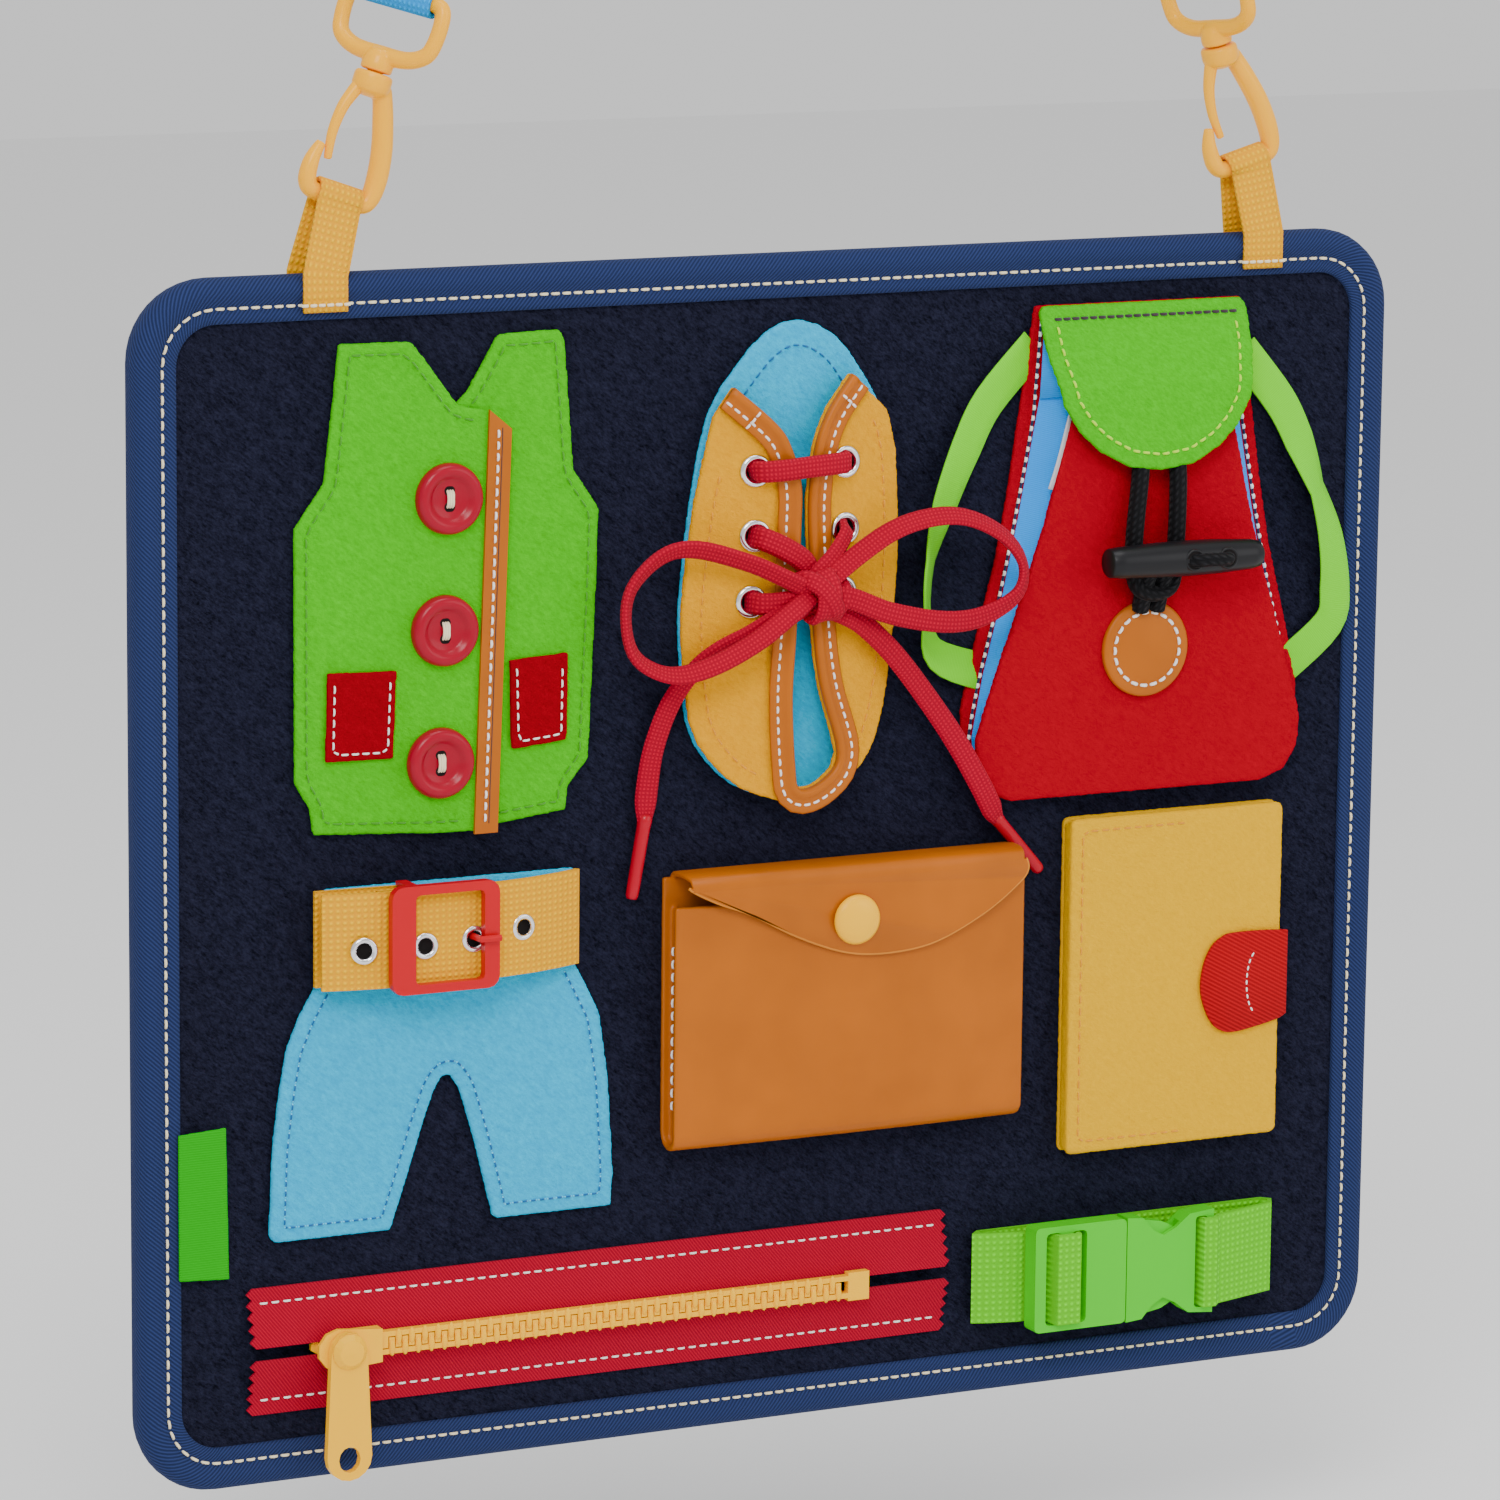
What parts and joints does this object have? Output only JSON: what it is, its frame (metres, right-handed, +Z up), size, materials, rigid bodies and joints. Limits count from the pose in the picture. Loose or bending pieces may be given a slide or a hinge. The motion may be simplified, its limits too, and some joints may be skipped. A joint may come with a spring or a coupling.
{
  "type": "dressing skills board",
  "caption": "Hanging felt board for practising fastenings: buttoned vest, laced shoe, toggled bag, belt, snap purse, notebook, zip and side-release clip.",
  "frame": {"origin": "the strap's inner face at the top of its arch, where it hangs on a peg", "axes": "+X to the board's right seen from the front, +Y out of its back, +Z up"},
  "size_m": [0.35, 0.0388, 0.6049],
  "materials": {
    "navy_felt": "fuzzy felt",
    "navy_tape": "twill tape",
    "core_board": "stiff sheet, hidden",
    "gold_webbing": "ribbed webbing",
    "cyan_webbing": "ribbed webbing",
    "amber_plastic": "translucent gloss",
    "green_felt": "fuzzy felt",
    "crimson_felt": "fuzzy felt",
    "brown_leather": "grained, satin",
    "red_plastic": "gloss",
    "blue_felt": "fuzzy felt",
    "yellow_felt": "fuzzy felt",
    "red_lace": "flat woven lace",
    "blue_satin": "satin ribbon",
    "lime_satin": "satin ribbon",
    "black_cord": "braided cord",
    "black_plastic": "matte",
    "lime_plastic": "satin",
    "lime_webbing": "ribbed webbing",
    "yellow_plastic": "satin gloss",
    "green_tape": "woven ribbon"
  },
  "bodies": {
    "strap": {"strap": "cyan_webbing", "left_ring": "amber_plastic", "right_ring": "amber_plastic"},
    "left_hook": {"left_hook": "amber_plastic"},
    "left_gate": {"left_gate": "amber_plastic"},
    "right_hook": {"right_hook": "amber_plastic"},
    "right_gate": {"right_gate": "amber_plastic"},
    "board": {"left_loop": "gold_webbing", "right_loop": "gold_webbing", "front_felt": "navy_felt", "stiffener": "core_board", "back_felt": "navy_felt", "edge_binding": "navy_tape", "label_tab": "green_tape", "vest_right_front": "green_felt", "pocket_right": "crimson_felt", "button_1": "red_plastic", "button_2": "red_plastic", "button_3": "red_plastic", "shoe_base": "blue_felt", "shoe_upper": "yellow_felt", "shoe_binding": "brown_leather", "lace_bar": "red_lace", "lace_bow": "red_lace", "lace_tail_left": "red_lace", "lace_tail_right": "red_lace", "bag_back": "crimson_felt", "bag_gusset": "blue_satin", "bag_front": "crimson_felt", "toggle_cord": "black_cord", "bag_patch": "brown_leather", "bag_strap_left": "lime_satin", "bag_strap_right": "lime_satin", "trousers": "blue_felt", "belt_strap": "gold_webbing", "belt_short": "gold_webbing", "belt_buckle": "red_plastic", "purse_pouch": "brown_leather", "book_back": "yellow_felt", "zip_tape_upper": "crimson_felt", "zip_tape_lower": "crimson_felt", "zip_teeth": "yellow_plastic", "clip_webbing": "lime_webbing", "clip_female": "lime_plastic"},
    "vest_front": {"vest_left_front": "green_felt", "vest_trim": "brown_leather", "pocket_left": "crimson_felt"},
    "bag_flap": {"bag_flap": "green_felt", "toggle_loop": "black_cord"},
    "toggle": {"toggle": "black_plastic"},
    "belt_prong": {"belt_prong": "red_plastic"},
    "purse_flap": {"purse_flap": "brown_leather", "snap_cap": "yellow_plastic"},
    "book_cover": {"book_cover": "yellow_felt"},
    "book_tab": {"book_tab": "crimson_felt"},
    "zip_slider": {"zip_slider": "yellow_plastic"},
    "zip_pull": {"zip_pull": "yellow_plastic"},
    "clip_male": {"clip_male": "lime_plastic"},
    "clip_arm_upper": {"clip_arm_upper": "lime_plastic"},
    "clip_arm_lower": {"clip_arm_lower": "lime_plastic"}
  },
  "joints": [
    {"name": "left_swivel", "type": "hinge", "parent": "strap", "child": "left_hook", "pos_m": [-0.12479, 0, -0.25825], "axis": [0.3256, 0, 0.9455], "range_deg": [-60, 60], "deforming": ["left_loop"]},
    {"name": "right_swivel", "type": "hinge", "parent": "strap", "child": "right_hook", "pos_m": [0.11177, 0, -0.25779], "axis": [-0.2756, 0, 0.9613], "range_deg": [-60, 60], "deforming": ["right_loop"]},
    {"name": "left_gate_flex", "type": "hinge", "parent": "left_hook", "child": "left_gate", "pos_m": [-0.12942, 0, -0.26034], "axis": [0, -1, 0], "range_deg": [0, 20], "stiffness_Nm_per_rad": 0.0005, "deforming": ["left_gate"]},
    {"name": "right_gate_flex", "type": "hinge", "parent": "right_hook", "child": "right_gate", "pos_m": [0.10918, 0, -0.26216], "axis": [0, -1, 0], "range_deg": [0, 20], "stiffness_Nm_per_rad": 0.0005, "deforming": ["right_gate"]},
    {"name": "board_swing", "type": "hinge", "parent": "strap", "child": "board", "pos_m": [-0.00724, 0, -0.28567], "axis": [1, 0, 0], "range_deg": [-30, 30], "deforming": ["left_loop", "right_loop"]},
    {"name": "vest_front_turn", "type": "hinge", "parent": "board", "child": "vest_front", "pos_m": [-0.147, -0.0048, -0.38117], "axis": [0, 0, -1], "range_deg": [0, 150], "deforming": ["vest_left_front"]},
    {"name": "bag_flap_lift", "type": "hinge", "parent": "board", "child": "bag_flap", "pos_m": [0.08656, -0.0052, -0.31967], "axis": [-1, 0, 0], "range_deg": [0, 130], "deforming": ["toggle_loop"]},
    {"name": "toggle_tip", "type": "hinge", "parent": "board", "child": "toggle", "pos_m": [0.08656, -0.01333, -0.3963], "axis": [1, 0, 0], "range_deg": [0, 75], "deforming": ["toggle_loop", "toggle_cord"]},
    {"name": "belt_prong_turn", "type": "hinge", "parent": "board", "child": "belt_prong", "pos_m": [-0.12044, -0.0091, -0.46647], "axis": [0, 0, -1], "range_deg": [0, 60], "deforming": ["belt_strap"]},
    {"name": "purse_flap_lift", "type": "hinge", "parent": "board", "child": "purse_flap", "pos_m": [0.00251, -0.004, -0.45827], "axis": [-1, 0, 0], "range_deg": [0, 85], "deforming": ["lace_tail_right"]},
    {"name": "book_cover_turn", "type": "hinge", "parent": "board", "child": "book_cover", "pos_m": [0.06746, -0.0052, -0.49692], "axis": [0, 0, -1], "range_deg": [0, 100], "deforming": ["book_tab"]},
    {"name": "book_tab_turn", "type": "hinge", "parent": "board", "child": "book_tab", "pos_m": [0.13161, -0.00385, -0.49692], "axis": [0, 0, 1], "range_deg": [0, 90]},
    {"name": "zip_run", "type": "slide", "parent": "board", "child": "zip_slider", "axis": [1, 0, 0], "range_m": [0, 0.13], "deforming": ["zip_teeth"]},
    {"name": "zip_pull_swing", "type": "hinge", "parent": "zip_slider", "child": "zip_pull", "pos_m": [-0.1366, -0.012, -0.56937], "axis": [0, 1, 0], "range_deg": [-90, 90]},
    {"name": "clip_release", "type": "slide", "parent": "board", "child": "clip_male", "axis": [-1, 0, 0], "range_m": [0, 0.025], "deforming": ["clip_webbing", "clip_arm_upper", "clip_arm_lower"]},
    {"name": "clip_squeeze_upper", "type": "hinge", "parent": "clip_male", "child": "clip_arm_upper", "pos_m": [0.08256, -0.0129, -0.56347], "axis": [0, 1, 0], "range_deg": [0, 8], "stiffness_Nm_per_rad": 0.001},
    {"name": "clip_squeeze_lower", "type": "hinge", "parent": "clip_male", "child": "clip_arm_lower", "pos_m": [0.08256, -0.0129, -0.58087], "axis": [0, -1, 0], "range_deg": [0, 8], "stiffness_Nm_per_rad": 0.001}
  ]
}
